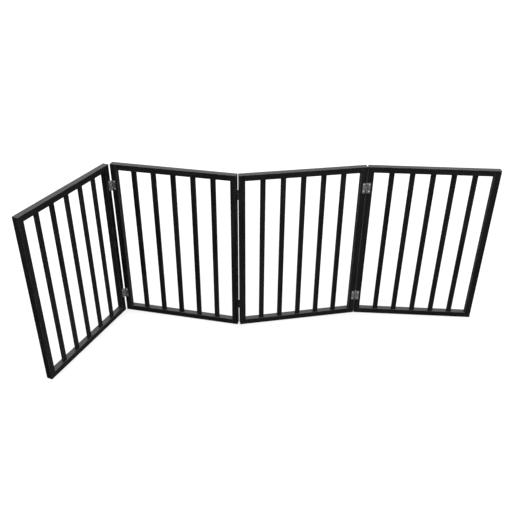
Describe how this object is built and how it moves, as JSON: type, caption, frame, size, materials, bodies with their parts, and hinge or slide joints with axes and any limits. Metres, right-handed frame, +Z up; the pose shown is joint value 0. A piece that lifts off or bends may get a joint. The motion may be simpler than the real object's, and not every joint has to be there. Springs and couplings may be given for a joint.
{
  "type": "folding pet gate",
  "caption": "Free-standing folding pet gate of slatted black wooden panels, hinged in a zigzag with small steel butt hinges; it closes off a doorway to pets and folds flat.",
  "frame": {"origin": "on the floor, in the middle of the footprint of the gate as it stands in its zigzag", "axes": "+X along the gate from its first panel to its last, +Y from its front to its back, +Z up"},
  "size_m": [1.5413, 0.4376, 0.6096],
  "materials": {
    "black_paint": "satin black paint over wood",
    "hinge_leaf_steel": "zinc-plated, dull",
    "hinge_pin_steel": "zinc-plated, dull",
    "screw_steel": "zinc-plated, bright"
  },
  "bodies": {
    "panel_1": {"panel_1_stile_left": "black_paint", "panel_1_stile_right": "black_paint", "panel_1_rail_bottom": "black_paint", "panel_1_rail_top": "black_paint", "panel_1_slat_1": "black_paint", "panel_1_slat_2": "black_paint", "panel_1_slat_3": "black_paint", "panel_1_slat_4": "black_paint", "panel_1_slat_5": "black_paint", "hinge_1_2_lower_leaf_left": "hinge_leaf_steel", "hinge_1_2_upper_leaf_left": "hinge_leaf_steel"},
    "panel_2": {"panel_2_stile_left": "black_paint", "panel_2_stile_right": "black_paint", "panel_2_rail_bottom": "black_paint", "panel_2_rail_top": "black_paint", "panel_2_slat_1": "black_paint", "panel_2_slat_2": "black_paint", "panel_2_slat_3": "black_paint", "panel_2_slat_4": "black_paint", "panel_2_slat_5": "black_paint", "hinge_1_2_lower_leaf_right": "hinge_leaf_steel", "hinge_1_2_lower_pin": "hinge_pin_steel", "hinge_1_2_upper_leaf_right": "hinge_leaf_steel", "hinge_1_2_upper_pin": "hinge_pin_steel", "hinge_2_3_lower_leaf_left": "hinge_leaf_steel", "hinge_2_3_upper_leaf_left": "hinge_leaf_steel"},
    "panel_3": {"panel_3_stile_left": "black_paint", "panel_3_stile_right": "black_paint", "panel_3_rail_bottom": "black_paint", "panel_3_rail_top": "black_paint", "panel_3_slat_1": "black_paint", "panel_3_slat_2": "black_paint", "panel_3_slat_3": "black_paint", "panel_3_slat_4": "black_paint", "panel_3_slat_5": "black_paint", "hinge_2_3_lower_leaf_right": "hinge_leaf_steel", "hinge_2_3_lower_pin": "hinge_pin_steel", "hinge_2_3_upper_leaf_right": "hinge_leaf_steel", "hinge_2_3_upper_pin": "hinge_pin_steel", "hinge_3_4_lower_leaf_left": "hinge_leaf_steel", "hinge_3_4_upper_leaf_left": "hinge_leaf_steel"},
    "panel_4": {"panel_4_stile_left": "black_paint", "panel_4_stile_right": "black_paint", "panel_4_rail_bottom": "black_paint", "panel_4_rail_top": "black_paint", "panel_4_slat_1": "black_paint", "panel_4_slat_2": "black_paint", "panel_4_slat_3": "black_paint", "panel_4_slat_4": "black_paint", "panel_4_slat_5": "black_paint", "hinge_3_4_lower_leaf_right": "hinge_leaf_steel", "hinge_3_4_lower_pin": "hinge_pin_steel", "hinge_3_4_upper_leaf_right": "hinge_leaf_steel", "hinge_3_4_upper_pin": "hinge_pin_steel"}
  },
  "joints": [
    {"name": "fold_1_2", "type": "hinge", "parent": "panel_2", "child": "panel_1", "pos_m": [-0.57377, 0.19498, 0.3048], "axis": [0, 0, 1], "range_deg": [-79.6, 100.4]},
    {"name": "fold_2_3", "type": "hinge", "parent": "panel_2", "child": "panel_3", "pos_m": [-0.12792, 0.1249, 0.3048], "axis": [0, 0, 1], "range_deg": [-23.5, 156.5]},
    {"name": "fold_3_4", "type": "hinge", "parent": "panel_3", "child": "panel_4", "pos_m": [0.31961, 0.18488, 0.3048], "axis": [0, 0, -1], "range_deg": [-14.7, 165.3]}
  ]
}
